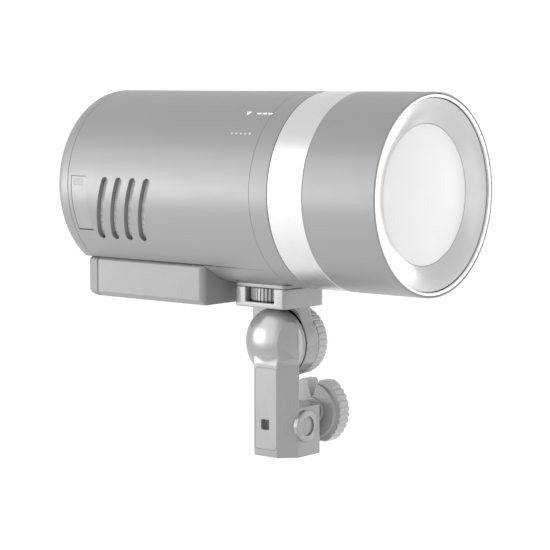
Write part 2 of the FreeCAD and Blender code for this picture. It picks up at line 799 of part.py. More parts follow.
def bracket_arm():
    """One casting: domed tilt head, stem and the block with the stand socket."""
    head = rod_x(HEAD_R, ARM_OUTER, HEAD_INNER, PIVOT_Y, PIVOT_Z)
    head = rounded(head, 5.0, lambda edge: edge.BoundBox.XMax < ARM_OUTER + 0.01)
    head = head.cut(head_facet())
    stem = plate_z(arm_outline(), 1.0, PIVOT_Z)
    block = plate_z(block_outline(), 0, BLOCK_HEIGHT)
    block = bevelled(block, 0.8, lambda edge: edge.BoundBox.ZMax < 0.01)
    block = rounded(block, 2.0, lambda edge: edge.BoundBox.ZMin > BLOCK_HEIGHT - 0.01
                    and edge.BoundBox.XMin > BLOCK_HALF - 0.01)
    boss = rod_y(BOSS_R, BOSS_TIP, -STEM_HALF + 1.0, BOSS_X, BOSS_Z)
    arm = fused(head, stem, block, boss)
    arm = arm.cut(rod_y(BOSS_RECESS_R, BOSS_TIP - 0.5, BOSS_TIP + 0.8, BOSS_X, BOSS_Z))
    arm = arm.cut(arm_panel_blank(0.1))
    arm = arm.cut(box(ARM_OUTER, ARM_OUTER + 3.0, 0.8, 5.8, 12.4, 17.4))
    arm = arm.cut(rod_z(SOCKET_R, -1, SOCKET_DEPTH))
    arm = arm.cut(rod_x(CLAMP_BOLT_R + 0.1, 6, 20, 0, CLAMP_Z))
    arm = arm.cut(rod_x(PAD_R + 0.3, 5.4, 10.0, 0, CLAMP_Z))
    arm = arm.cut(rod_x(BOLT_R + 0.2, -11.6, 0, PIVOT_Y, PIVOT_Z))
    arm = arm.cut(hexagon_x(7.6, -10.0, 0, PIVOT_Y, PIVOT_Z))
    return arm.removeSplitter()


def arm_panel():
    panel = arm_panel_blank(0.0)
    return panel.cut(box(ARM_OUTER - 1, ARM_OUTER + 2, 0.9, 5.7, 12.5, 17.3))


def pivot_nut():
    nut = hexagon_x(7.45, -9.9, HEAD_INNER - 0.5, PIVOT_Y, PIVOT_Z)
    return nut.cut(rod_x(BOLT_R + 0.07, -20, 0, PIVOT_Y, PIVOT_Z))


def washer_x(radius, x0, x1):
    hole = rod_x(BOLT_R + 0.3, x0 - 1, x1 + 1, PIVOT_Y, PIVOT_Z)
    return rod_x(radius, x0, x1, PIVOT_Y, PIVOT_Z).cut(hole)


def tilt_knob():
    """A round hand knob with fine grip flutes around its rim."""
    knob = rod_x(KNOB_R, KNOB_NEAR, KNOB_FAR, PIVOT_Y, PIVOT_Z)
    knob = bevelled(knob, 0.8, lambda edge: edge.BoundBox.XMin > KNOB_FAR - 0.01)
    flutes = []
    reach = KNOB_R + 0.5
    for index in range(KNOB_FLUTES):
        angle = 2 * math.pi * (index + 0.5) / KNOB_FLUTES
        y = PIVOT_Y + reach * math.cos(angle)
        z = PIVOT_Z + reach * math.sin(angle)
        flutes.append(rod_x(0.9, KNOB_NEAR - 1, KNOB_FAR + 1, y, z))
    knob = knob.cut(flutes)
    knob = knob.cut(rod_x(BOLT_R + 0.05, 0, 20, PIVOT_Y, PIVOT_Z))
    knob = knob.cut(hexagon_x(7.45, 8.4, 20, PIVOT_Y, PIVOT_Z))
    return knob.cut(rod_x(8.7, KNOB_FAR - 1.0, 20, PIVOT_Y, PIVOT_Z))


def tilt_bolt():
    shank = rod_x(BOLT_R, -11.4, 9.0, PIVOT_Y, PIVOT_Z)
    return fused(shank, hexagon_x(7.3, 8.5, 11.8, PIVOT_Y, PIVOT_Z))


def knob_cap():
    cap = rod_x(8.6, KNOB_FAR - 0.95, KNOB_FAR + 0.7, PIVOT_Y, PIVOT_Z)
    return rounded(cap, 0.5, lambda edge: edge.BoundBox.XMin > KNOB_FAR + 0.69)


def clamp_pad():
    return bevelled(rod_x(PAD_R, SOCKET_R + 0.1, 9.6, 0, CLAMP_Z), 0.4,
                    lambda edge: edge.BoundBox.XMax < SOCKET_R + 0.11)


def clamp_screw():
    return bevelled(rod_x(CLAMP_BOLT_R, 9.65, WING_FAR - 1.0, 0, CLAMP_Z), 0.4,
                    lambda edge: edge.BoundBox.XMax < 9.66)


def wing_knob():
    """Two lobes, fore and aft of a round hub, parted by a V notch above and below."""
    disc = rod_x(WING_R, WING_NEAR, WING_FAR, 0, CLAMP_Z)
    flat = 14.3
    disc = disc.common(box(0, 40, -20, 20, CLAMP_Z - flat, CLAMP_Z + flat))
    for side in (-1, 1):
        mouth = CLAMP_Z + side * 18
        notch = plate_x([(0, CLAMP_Z + side * 5.0), (4.4, mouth), (-4.4, mouth)], 0, 40)
        disc = disc.cut(notch)
    reach = WING_R + 0.35
    ribs = []
    for step in range(-4, 5):
        for side in (0, 180):
            angle = math.radians(side + step * 11)
            y = reach * math.cos(angle)
            ribs.append(rod_x(0.9, 0, 40, y, CLAMP_Z + reach * math.sin(angle)))
    disc = disc.cut(ribs)
    step_back = rod_x(30, 0, WING_NEAR + 1.2, 0, CLAMP_Z)
    disc = disc.cut(step_back.cut(rod_x(13.0, 0, 40, 0, CLAMP_Z)))
    hub = rod_x(6.4, WING_NEAR - 0.7, WING_FAR, 0, CLAMP_Z)
    hub = bevelled(hub, 0.5, lambda edge: edge.BoundBox.XLength < 1e-6)
    return fused(disc, hub).cut(rod_x(CLAMP_BOLT_R + 0.04, 0, WING_FAR - 0.9, 0, CLAMP_Z))


# ---------------------------------------------------------------- every node
NODES = {
    "front_barrel": front_barrel,
    "rim_ring": rim_ring,
    "cone_reflector": cone_reflector,
    "front_glass": front_glass,
    "glass_retainer": glass_retainer,
    "lock_ring": lock_ring,
    "front_frame": front_frame,
    "reflector_dish": reflector_dish,
    "flash_tube": flash_tube,
    "tube_base": tube_base,
    "modelling_led": modelling_led,
    "heat_sink": heat_sink,
    "housing_shell": housing_shell,
    "vent_mesh": vent_mesh,
    "battery_deck": battery_deck,
    "contact_pins": contact_pins,
    "rear_bezel": rear_bezel,
    "mount_foot": mount_foot,
    "main_board": main_board,
    "capacitors": capacitors,
    "charge_transformer": charge_transformer,
    "fan_frame": fan_frame,
    "fan_rotor": fan_rotor,
    "port_board": port_board,
    "usb_socket": usb_socket,
    "sync_socket": sync_socket,
    "rear_panel": rear_panel,
    "display_window": display_window,
    "display_module": display_module,
    "control_board": control_board,
    "dial_encoder": dial_encoder,
    "select_dial": select_dial,
    "port_cover": port_cover,
    "battery_case": battery_case,
    "battery_contacts": battery_contacts,
    "battery_end_cap": battery_end_cap,
    "battery_cells": battery_cells,
    "battery_latch": battery_latch,
    "mount_yoke": mount_yoke,
    "yoke_plate": yoke_plate,
    "plate_screws": plate_screws,
    "yoke_pad": yoke_pad,
    "thumbwheel": thumbwheel,
    "mount_screw": mount_screw,
    "bracket_arm": bracket_arm,
    "arm_panel": arm_panel,
    "pivot_nut": pivot_nut,
    "tilt_knob": tilt_knob,
    "tilt_bolt": tilt_bolt,
    "knob_cap": knob_cap,
    "clamp_pad": clamp_pad,
    "clamp_screw": clamp_screw,
    "wing_knob": wing_knob,
}

os.makedirs("parts", exist_ok=True)
for name, make in NODES.items():
    keep(name, make())
for name, (x, z) in BUTTON_SPOTS.items():
    keep(name, press_button(x, z, BUTTON_R, REAR_Y - 0.6, True))
keep("set_button", press_button(0.0, DIAL_Z, SET_R, REAR_Y + 0.2, False))
keep("tilt_washer", washer_x(14.0, HEAD_INNER, EAR_NEAR - 0.05))
keep("knob_washer", washer_x(12.0, EAR_FAR + 0.05, KNOB_NEAR))
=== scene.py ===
import math

import bmesh
import bpy
from mathutils import Matrix, Vector


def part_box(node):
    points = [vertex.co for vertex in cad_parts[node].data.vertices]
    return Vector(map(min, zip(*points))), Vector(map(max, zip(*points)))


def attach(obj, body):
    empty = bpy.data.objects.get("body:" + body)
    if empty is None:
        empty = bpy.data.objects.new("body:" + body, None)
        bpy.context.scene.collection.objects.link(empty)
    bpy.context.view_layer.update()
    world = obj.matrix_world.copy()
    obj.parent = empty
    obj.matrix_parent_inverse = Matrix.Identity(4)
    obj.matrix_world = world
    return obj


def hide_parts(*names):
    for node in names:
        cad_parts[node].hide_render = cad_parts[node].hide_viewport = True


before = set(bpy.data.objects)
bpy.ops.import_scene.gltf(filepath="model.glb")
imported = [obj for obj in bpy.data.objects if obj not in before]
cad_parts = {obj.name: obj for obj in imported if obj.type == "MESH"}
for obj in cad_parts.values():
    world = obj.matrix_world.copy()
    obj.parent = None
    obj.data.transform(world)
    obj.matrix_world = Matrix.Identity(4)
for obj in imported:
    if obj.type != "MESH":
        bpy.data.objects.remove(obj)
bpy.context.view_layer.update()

# Battery monolight strobe on its tilting bracket. Shapes are built in millimetres in the row
# frame and scaled to metres when each piece is finished. The lamp's axis lies along Y.
MM = 0.001
LAMP_Z = 122.5       # height of the lamp's axis
LAMP_R = 44.5        # outside of the casing
SHELL_BORE = 42.1    # inside of the housing
PIVOT = (3.1, 52.0)  # the tilt axis, as (y, z)
CLAMP = (0.0, 18.0)  # the clamp screw's axis, as (y, z)
BATTERY_FLOOR = 69.0
BATTERY_TOP = 87.9
WHEEL_Y = 5.8        # the thumbwheel's axis
SMOOTH = 256         # segments round the lamp


# ---------------------------------------------------------------- camera
CAMERA_PLACE = (-0.6928, -0.5626, 0.1720)
VIEW_LINE = (0.7678, 0.6329, -0.0993)
LENS = 128.0


def make_camera():
    data = bpy.data.cameras.new("camera")
    data.sensor_width = 36.0
    data.lens = LENS
    data.clip_start = 0.01
    data.clip_end = 200.0
    camera = bpy.data.objects.new("camera", data)
    bpy.context.scene.collection.objects.link(camera)
    camera.location = CAMERA_PLACE
    camera.rotation_mode = "QUATERNION"
    camera.rotation_quaternion = Vector(VIEW_LINE).to_track_quat("-Z", "Y")
    bpy.context.scene.camera = camera


make_camera()


# ---------------------------------------------------------------- materials
def linear(level):
    """Linear value of a 0 to 255 display level."""
    c = level / 255.0
    return c / 12.92 if c <= 0.04045 else ((c + 0.055) / 1.055) ** 2.4


def grey(level, warm=0.0):
    """A grey of that display level; warm above 0 leans to yellow, below 0 to blue."""
    c = linear(level)
    return (c * (1 + warm), c, c * (1 - warm), 1.0)


def darker(colour, share):
    """The colour with each channel scaled by that share."""
    return tuple(c * share for c in colour[:3]) + (1.0,)


class Graph:
    """Short calls for building one node material."""

    def __init__(self, name):
        self.material = bpy.data.materials.new(name)
        self.material.use_nodes = True
        self.tree = self.material.node_tree
        self.shader = self.tree.nodes["Principled BSDF"]
        self.place = self.node("ShaderNodeTexCoord").outputs["Object"]

    def node(self, kind, **values):
        made = self.tree.nodes.new(kind)
        for key, value in values.items():
            setattr(made, key, value)
        return made

    def link(self, source, target):
        self.tree.links.new(source, target)

    def stretched(self, scale):
        step = self.node("ShaderNodeVectorMath", operation="MULTIPLY")
        self.link(self.place, step.inputs[0])
        step.inputs[1].default_value = scale
        return step.outputs[0]

    def noise(self, scale, detail=3.0, stretch=None, rough=0.55):
        made = self.node("ShaderNodeTexNoise")
        made.inputs["Scale"].default_value = scale
        made.inputs["Detail"].default_value = detail
        made.inputs["Roughness"].default_value = rough
        self.link(self.stretched(stretch) if stretch else self.place, made.inputs["Vector"])
        return made.outputs["Fac"]

    def ranged(self, source, low, high, start=0.3, end=0.7):
        step = self.node("ShaderNodeMapRange")
        self.link(source, step.inputs["Value"])
        step.inputs["From Min"].default_value = start
        step.inputs["From Max"].default_value = end
        step.inputs["To Min"].default_value = low
        step.inputs["To Max"].default_value = high
        return step.outputs["Result"]

    def mixed(self, amount, first, second, blend="MIX"):
        step = self.node("ShaderNodeMix", data_type="RGBA", blend_type=blend)
        for value, socket in ((amount, 0), (first, 6), (second, 7)):
            if isinstance(value, (float, tuple)):
                step.inputs[socket].default_value = value
            else:
                self.link(value, step.inputs[socket])
        return step.outputs[2]

    def bump(self, source, strength, distance, under=None):
        step = self.node("ShaderNodeBump")
        step.inputs["Strength"].default_value = strength
        step.inputs["Distance"].default_value = distance
        self.link(source, step.inputs["Height"])
        if under:
            self.link(under, step.inputs["Normal"])
        return step.outputs["Normal"]

    def put(self, name, value):
        socket = self.shader.inputs[name]
        if isinstance(value, (float, tuple)):
            socket.default_value = value
        else:
            self.link(value, socket)


MOTTLE_SCALE = 55.0
GRAIN_DEPTH = 0.00005


def finish(name, colour, rough, metal=0.0, grain=2600.0, depth=0.10, mottle=0.04, wear=0.10,
           stretch=None, smudge=0.05, **extra):
    """A moulded, painted or metal surface: fine grain, slow colour change, and worn edges."""
    g = Graph(name)
    fine = g.noise(grain, 2.0, stretch)
    slow = g.noise(MOTTLE_SCALE, 4.0)
    shade = g.ranged(slow, 1.0 - mottle, 1.0 + mottle)
    tint = g.node("ShaderNodeCombineColor")
    for channel in range(3):
        g.link(shade, tint.inputs[channel])
    base = g.mixed(1.0, colour, tint.outputs[0], "MULTIPLY")
    speck = g.ranged(fine, 1.0 - mottle, 1.0 + mottle)
    speckle = g.node("ShaderNodeCombineColor")
    for channel in range(3):
        g.link(speck, speckle.inputs[channel])
    base = g.mixed(1.0, base, speckle.outputs[0], "MULTIPLY")
    if wear:
        sharpness = g.node("ShaderNodeNewGeometry").outputs["Pointiness"]
        edge = g.ranged(sharpness, 0.0, wear, 0.54, 0.66)
        lighter = tuple(min(1.0, c * 1.5 + 0.08) for c in colour[:3]) + (1.0,)
        base = g.mixed(edge, base, lighter)
    g.put("Base Color", base)
    g.put("Roughness", g.ranged(g.noise(120.0, 5.0), rough - smudge, rough + smudge))
    g.put("Metallic", metal)
    g.put("Normal", g.bump(fine, depth, GRAIN_DEPTH))
    for key, value in extra.items():
        g.put(key.replace("_", " "), value)
    return g.material


def turned_metal(name, colour, rough, metal=1.0, lines=9000.0, depth=0.06, anisotropy=0.55):
    """Metal turned on a lathe about Y, with fine lines round it."""
    g = Graph(name)
    fine = g.noise(1.0, 3.0, (40.0, lines, 40.0))
    slow = g.noise(70.0, 4.0)
    shade = g.mixed(g.ranged(slow, 0.0, 1.0), colour, darker(colour, 0.94))
    streak = g.mixed(g.ranged(fine, 0.0, 0.12), shade, darker(colour, 0.6))
    g.put("Base Color", streak)
    g.put("Metallic", metal)
    g.put("Roughness", g.ranged(slow, rough - 0.03, rough + 0.03))
    g.put("Anisotropic", anisotropy)
    tangent = g.node("ShaderNodeTangent", direction_type="RADIAL", axis="Y")
    g.link(tangent.outputs[0], g.shader.inputs["Tangent"])
    g.put("Normal", g.bump(fine, depth, 0.00004))
    return g.material


def frosted(name):
    """Frosted glass: a fine etched grain over a milky body."""
    g = Graph(name)
    etch = g.noise(3800.0, 3.0)
    cloud = g.noise(45.0, 3.0)
    g.put("Base Color", g.mixed(g.ranged(cloud, 0.0, 1.0), grey(228, 0.004), grey(224, 0.008)))
    g.put("Roughness", g.ranged(etch, 0.42, 0.56))
    g.put("Transmission Weight", 0.12)
    g.put("IOR", 1.47)
    g.put("Coat Weight", 0.15)
    g.put("Coat Roughness", 0.25)
    g.put("Normal", g.bump(etch, 0.12, 0.00004))
    return g.material


def clear(name, colour, rough, weight, **extra):
    """Clear or smoked glass with faint handling marks."""
    g = Graph(name)
    marks = g.noise(240.0, 6.0)
    g.put("Base Color", g.mixed(g.ranged(marks, 0.0, 1.0), colour, darker(colour, 0.9)))
    g.put("Roughness", g.ranged(marks, rough, rough + 0.06))
    g.put("Transmission Weight", weight)
    g.put("Normal", g.bump(marks, 0.03, 0.00003))
    for key, value in extra.items():
        g.put(key.replace("_", " "), value)
    return g.material


def perforated(name, colour, hole, pitch):
    """A sheet with a regular pattern of small dark holes."""
    g = Graph(name)
    dots = g.node("ShaderNodeTexVoronoi")
    dots.inputs["Scale"].default_value = 1.0 / pitch
    dots.inputs["Randomness"].default_value = 0.0
    g.link(g.place, dots.inputs["Vector"])
    inside = g.ranged(dots.outputs["Distance"], 1.0, 0.0, 0.34, 0.42)
    g.put("Base Color", g.mixed(inside, colour, hole))
    g.put("Roughness", 0.6)
    g.put("Normal", g.bump(inside, 0.5, 0.0002))
    return g.material


def circuit(name):
    """Solder resist with faint tracks and pads."""
    g = Graph(name)
    tracks = g.node("ShaderNodeTexBrick")
    tracks.inputs["Scale"].default_value = 160.0
    tracks.inputs["Mortar Size"].default_value = 0.03
    tracks.inputs["Color1"].default_value = (0.020, 0.11, 0.045, 1)
    tracks.inputs["Color2"].default_value = (0.026, 0.13, 0.055, 1)
    tracks.inputs["Mortar"].default_value = (0.05, 0.20, 0.09, 1)
    g.link(g.place, tracks.inputs["Vector"])
    g.put("Base Color", tracks.outputs["Color"])
    g.put("Roughness", g.ranged(g.noise(300.0), 0.32, 0.45))
    g.put("Normal", g.bump(tracks.outputs["Fac"], 0.2, 0.00005))
    return g.material


CASING = finish("casing_coat", grey(135, -0.012), 0.44, 0.38, 3000.0, 0.16, 0.01, 0.06, None, 0.015)
BEZEL = finish("bezel_coat", grey(134, -0.012), 0.44, 0.36, 3000.0, 0.18, 0.01, 0.06, None, 0.015)
BATTERY = finish("battery_shell", grey(130, -0.012), 0.46, 0.15, 2200.0, 0.22, 0.02, 0.08, None, 0.02)
# The end cap is a slightly darker, rougher copy of the battery shell: painted shade for its rounded rear
# corner.
END_CAP_PAINTED_SHADE = finish("battery_end", grey(126, -0.012), 0.50, 0.10, 2200.0, 0.22, 0.02, 0.08, None, 0.02)
SILVER = turned_metal("silver_ring", grey(198, -0.004), 0.30, 0.92)
CHROME = turned_metal("bright_rim", grey(238), 0.12, 1.0, 12000.0, 0.02, 0.3)
CONE = turned_metal("reflector_cone", grey(186, 0.006), 0.24, 0.85, 5000.0, 0.05, 0.4)
DISH = turned_metal("reflector_dish", grey(225), 0.16, 1.0, 4000.0, 0.05, 0.4)
FROSTED = frosted("frosted_glass")
QUARTZ = clear("quartz", grey(244), 0.04, 0.85, IOR=1.46)
PANE = clear("display_pane", grey(46, -0.02), 0.10, 0.0, Coat_Weight=0.8, Coat_Roughness=0.05)
BLACK = finish("black_plastic", grey(112, -0.01), 0.48, 0.0, 2400.0, 0.22, 0.04, 0.12)
KNOB = finish("knob_plastic", grey(160, -0.01), 0.40, 0.10, 2400.0, 0.20, 0.04, 0.0)
FLAP = finish("port_rubber", grey(140, -0.01), 0.42, 0.28, 3200.0, 0.25, 0.03, 0.05)
RUBBER = finish("matt_rubber", grey(112, -0.01), 0.66, 0.0, 3200.0, 0.30, 0.05, 0.05)
BUTTON = finish("button_rubber", grey(132, -0.01), 0.55, 0.0, 3200.0, 0.20, 0.04, 0.08)
ARM = finish("bracket_coat", grey(143, -0.014), 0.23, 0.38, 1900.0, 0.14, 0.02, 0.25, None, 0.02)
PANEL = finish("arm_panel_coat", grey(140, -0.014), 0.40, 0.30, 1.0, 0.14, 0.03, 0.10,
               (300.0, 3000.0, 120.0))
STEEL = finish("plain_steel", grey(186), 0.26, 1.0, 1.0, 0.10, 0.03, 0.0, (5000.0, 5000.0, 400.0))
WHEEL = finish("wheel_metal", grey(150, -0.01), 0.40, 0.40, 2600.0, 0.10, 0.04, 0.45)
ALUMINIUM = finish("plain_aluminium", grey(200), 0.34, 1.0, 1500.0, 0.10, 0.03, 0.0)
BRASS = finish("brass", (0.60, 0.42, 0.14, 1), 0.24, 1.0, 2400.0, 0.08, 0.04, 0.0)
CERAMIC = finish("ceramic", grey(232, 0.01), 0.30, 0.0, 1800.0, 0.08, 0.02, 0.0)
LED = finish("led_dome", (0.85, 0.70, 0.25, 1), 0.18, 0.0, 1800.0, 0.04, 0.03, 0.0)
COMPONENT = finish("component", grey(70), 0.42, 0.0, 1800.0, 0.15, 0.05, 0.10)
SLEEVE = finish("capacitor_sleeve", (0.03, 0.05, 0.09, 1), 0.30, 0.0, 1200.0, 0.08, 0.05, 0.0)
CELL = finish("cell_film", (0.08, 0.10, 0.17, 1), 0.28, 0.0, 900.0, 0.10, 0.04, 0.0)
LATCH = finish("latch_plastic", grey(120, -0.01), 0.45, 0.0, 2600.0, 0.20, 0.04, 0.15)
PRINT = finish("white_print", grey(246), 0.50, 0.0, 4000.0, 0.05, 0.02, 0.0)
FAINT = finish("faint_print", grey(196), 0.50, 0.0, 4000.0, 0.05, 0.02, 0.0)
# The vent mesh is painted lighter than the casing as painted light inside the shaded slots; its darker dots
# are the holes.
GRILLE_PAINTED_LIGHT = perforated("vent_mesh", grey(190, -0.01), grey(150), 0.0011)
BOARD = circuit("circuit_board")


# ---------------------------------------------------------------- shape helpers
TURN = {
    "x": Matrix(((0, 0, 1, 0), (1, 0, 0, 0), (0, 1, 0, 0), (0, 0, 0, 1))),
    "y": Matrix(((1, 0, 0, 0), (0, 0, 1, 0), (0, 1, 0, 0), (0, 0, 0, 1))),
    "z": Matrix.Identity(4),
}


def rounded(points, steps=5):
    """A closed outline of (u, v) or (u, v, radius) corners; a radius rounds that corner."""
    out = []
    for index, point in enumerate(points):
        corner = Vector(point[:2])
        if len(point) < 3:
            out.append(corner)
            continue
        back = (Vector(points[index - 1][:2]) - corner).normalized()
        ahead = (Vector(points[(index + 1) % len(points)][:2]) - corner).normalized()
        half = back.angle(ahead) / 2
        centre = corner + (back + ahead).normalized() * point[2] / math.sin(half)
        first = corner + back * point[2] / math.tan(half) - centre
        sweep = first.angle_signed(corner + ahead * point[2] / math.tan(half) - centre)
        for step in range(steps + 1):
            angle = -sweep * step / steps
            cos, sin = math.cos(angle), math.sin(angle)
            spoke = (first.x * cos - first.y * sin, first.x * sin + first.y * cos)
            out.append(centre + Vector(spoke))
    return out


def shape(bm):
    bmesh.ops.remove_doubles(bm, verts=bm.verts, dist=1e-4)
    bmesh.ops.recalc_face_normals(bm, faces=bm.faces)
    mesh = bpy.data.meshes.new("shape")
    bm.to_mesh(mesh)
    bm.free()
    made = bpy.data.objects.new("shape", mesh)
    bpy.context.scene.collection.objects.link(made)
    return made


def lathe(profile, axis="y", centre=(0.0, LAMP_Z), segments=192, ripple=None):
    """Turns a closed (radius, along) outline about an axis. ripple(angle, radius) is added to it."""
    outline = rounded(profile)
    bm = bmesh.new()
    rings = []
    for step in range(segments):
        angle = 2 * math.pi * step / segments
        cos, sin = math.cos(angle), math.sin(angle)
        ring = []
        for radius, along in outline:
            reach = radius + (ripple(angle, radius) if ripple else 0.0)
            spot = Vector((centre[0] + reach * cos, centre[1] + reach * sin, along))
            ring.append(bm.verts.new(TURN[axis] @ spot))
        rings.append(ring)
    for step in range(segments):
        one, two = rings[step - 1], rings[step]
        for index in range(len(outline)):
            if outline[index - 1][0] > 1e-6 or outline[index][0] > 1e-6:
                bm.faces.new((one[index - 1], one[index], two[index], two[index - 1]))
    return shape(bm)


def prism(outline, start, end, axis):
    """An outline pushed along an axis. It lies in (y, z), (x, z) or (x, y), in that order."""
    loop = rounded(outline)
    bm = bmesh.new()
    ends = []
    for along in (start, end):
        ends.append([bm.verts.new(TURN[axis] @ Vector((u, v, along))) for u, v in loop])
        bm.faces.new(ends[-1])
    for index in range(len(loop)):
        bm.faces.new((ends[0][index - 1], ends[0][index], ends[1][index], ends[1][index - 1]))
    return shape(bm)


def loft(levels):
    """Joins (z, outline) levels of (x, y) points, closed at both ends."""
    bm = bmesh.new()
    rings = [[bm.verts.new((u, v, z)) for u, v in rounded(outline)] for z, outline in levels]
    bm.faces.new(rings[0])
    bm.faces.new(rings[-1])
    for low, high in zip(rings, rings[1:]):
        for index in range(len(low)):
            bm.faces.new((low[index - 1], low[index], high[index], high[index - 1]))
    return shape(bm)


def block(x, y, z):
    return prism([(x[0], y[0]), (x[1], y[0]), (x[1], y[1]), (x[0], y[1])], z[0], z[1], "z")


def rod(radius, start, end, axis, centre, segments=96):
    return lathe([(0.0, start), (radius, start), (radius, end), (0.0, end)], axis, centre, segments)


def settle(made):
    """Applies an object's modifiers to its mesh."""
    bpy.context.view_layer.update()
    graph = bpy.context.evaluated_depsgraph_get()
    mesh = bpy.data.meshes.new_from_object(made.evaluated_get(graph))
    made.modifiers.clear()
    made.data = mesh
    return made


def combine(target, operation, tools):
    """Cuts, joins or intersects the target with each tool in turn; the tools are used up."""
    for tool in tools:
        step = target.modifiers.new("combine", "BOOLEAN")
        step.operation = operation
        step.solver = "EXACT"
        step.object = tool
    settle(target)
    for tool in tools:
        bpy.data.objects.remove(tool)
    return target


def cut(target, *tools):
    return combine(target, "DIFFERENCE", tools)


def joined(target, *tools):
    return combine(target, "UNION", tools)


def soften(target, width, segments=3, angle=32.0, merge=False):
    """Rounds every edge sharper than that angle. merge first joins the pieces of each flat face."""
    weld = target.modifiers.new("weld", "WELD")
    weld.merge_threshold = 0.004
    if merge:
        flat = target.modifiers.new("flat", "DECIMATE")
        flat.decimate_type = "DISSOLVE"
        flat.angle_limit = math.radians(0.2)
    step = target.modifiers.new("soften", "BEVEL")
    step.width = width
    step.segments = segments
    step.limit_method = "ANGLE"
    step.angle_limit = math.radians(angle)
    step.use_clamp_overlap = False
    return settle(target)


def piece(name, made, body, slot, material, *nodes, crease=34):
    """Scales a finished shape to metres, names it, and hangs it on its CAD body."""
    made.data.transform(Matrix.Scale(MM, 4))
    made.name = name
    made.data.name = name
    made.data.materials.clear()
    made.data.materials.append(material)
    made.data.shade_smooth()
    made.data.set_sharp_from_angle(angle=math.radians(crease))
    even = made.modifiers.new("even_normals", "WEIGHTED_NORMAL")
    even.keep_sharp = True
    even.weight = 50
    if nodes:
        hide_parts(*nodes)
    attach(made, body)
    return made


def extent(node):
    """((x0, x1), (y0, y1), (z0, z1)) of a CAD node in millimetres."""
    low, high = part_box(node)
    return [(a / MM, b / MM) for a, b in zip(low, high)]


def on_lamp(angle, radius=LAMP_R):
    """(x, z) on the lamp at an angle measured from -X towards +Z."""
    turn = math.radians(angle)
    return -radius * math.cos(turn), LAMP_Z + radius * math.sin(turn)


def sector(low, high, y, reach=60.0):
    """The wedge of the lamp between two angles, as a cutter."""
    points = [(0.0, LAMP_Z)]
    points += [on_lamp(low + (high - low) * step / 4, reach) for step in range(5)]
    return prism(points, y[0], y[1], "y")


# ---------------------------------------------------------------- front of the lamp
def front_parts():
    start, end = extent("front_barrel")[1]
    seat = start + 38.3
    ledge = start + 2.1
    barrel = lathe([
        (43.7, start, 0.2), (LAMP_R, start, 0.6), (LAMP_R, seat, 0.25), (41.3, seat),
        (41.3, end, 0.3), (39.3, end, 0.3), (39.3, seat - 3.0, 0.3), (42.0, seat - 5.0, 0.3),
        (42.0, ledge, 0.1), (43.7, ledge, 0.1),
    ], segments=SMOOTH)
    piece("barrel", barrel, "front_barrel", "casing", CASING, "front_barrel")

    near = start + 0.1
    rim = lathe([
        (42.5, near, 0.15), (43.6, near, 0.35), (43.6, ledge), (42.1, ledge), (42.1, near + 0.4, 0.15),
    ], segments=SMOOTH)
    piece("rim_trim", rim, "front_barrel", "bright_trim", CHROME, "rim_ring")

    edge = start + 1.4
    root = start + 5.4
    outer = 41.9
    inner = 30.9
    rise = edge - root
    run = outer - inner
    bow = 0.35
    front = [(outer - run * t, edge - rise * t - bow * math.sin(math.pi * t)) for t in
             [step / 12 for step in range(13)]]
    back = [(inner, root + 0.9), (40.9, edge + 1.4), (40.9, start + 9.4), (outer, start + 9.4)]
    cone = lathe([(outer, edge, 0.2)] + front[1:-1] + [(inner, root, 0.3)] + back, segments=SMOOTH)
    piece("reflector_cone", cone, "front_barrel", "reflector", CONE, "cone_reflector")

    size = 30.8
    fall = 2.3
    apex = start + 3.2
    dome = []
    ball = (size ** 2 + fall ** 2) / (2 * fall)
    for step in range(29):
        radius = (size - 0.5) * step / 28
        dome.append((radius, apex + ball - math.sqrt(ball * ball - radius * radius)))
    flange, back_y, hollow_r, hollow_depth = size + 1.8, start + 8.4, 27.4, 2.5
    rest = [(size, root + 0.15, 0.1), (size, start + 6.4), (flange, start + 6.4, 0.3),
            (flange, back_y, 0.3), (hollow_r, back_y, 0.2)]
    hollow = [(hollow_r * (1 - step / 14), back_y - hollow_depth * math.sin(math.pi / 2 * step / 14))
              for step in range(1, 15)]
    glass = lathe(dome + rest + hollow, segments=192)
    piece("frosted_dome", glass, "front_barrel", "frosted_glass", FROSTED, "front_glass")

    start, end = extent("lock_ring")[1]
    ring = lathe([(41.65, start, 0.2), (LAMP_R, start, 0.45), (LAMP_R, end, 0.45), (41.65, end, 0.2)],
                 segments=SMOOTH)
    piece("silver_ring", ring, "lock_ring", "lock_ring", SILVER, "lock_ring")

    nose, tail = extent("front_frame")[1]
    shoulder = nose + 5.6
    front = shoulder + 7.0
    end = front + 10.05
    frame_ring = lathe([
        (36.6, nose, 0.3), (39.1, nose, 0.5), (39.1, shoulder, 0.2), (41.55, shoulder, 0.3), (41.55, front),
        (LAMP_R, front, 0.3), (LAMP_R, end, 0.1), (41.9, end), (41.9, tail, 0.3), (40.3, tail, 0.3),
        (40.3, end - 1.0), (36.6, end - 2.5, 0.3),
    ], segments=SMOOTH)
    piece("frame_ring", frame_ring, "lamp", "casing", CASING, "front_frame")


# ---------------------------------------------------------------- housing
VENT_FIRST_Y = 51.8
VENT_PITCH = 8.8
VENT_Z = LAMP_Z - 9.9
VENT_HALF_WIDTH = 2.0
VENT_HALF_LENGTH = 15.25
VENT_SLANT = 17.5


def vent(index, side):
    """A slanted slot with round ends, as a cutter through one wall."""
    half, reach = VENT_HALF_WIDTH, VENT_HALF_LENGTH
    corner = half - 0.001
    outline = [(-half, -reach, corner), (half, -reach, corner),
               (half, reach, corner), (-half, reach, corner)]
    turn = math.radians(VENT_SLANT)
    middle = VENT_FIRST_Y + index * VENT_PITCH
    made = prism(outline, 20.0 * side, 60.0 * side, "x")
    move = Matrix.Translation((0, middle, VENT_Z)) @ Matrix.Rotation(turn, 4, "X")
    made.data.transform(move)
    return made


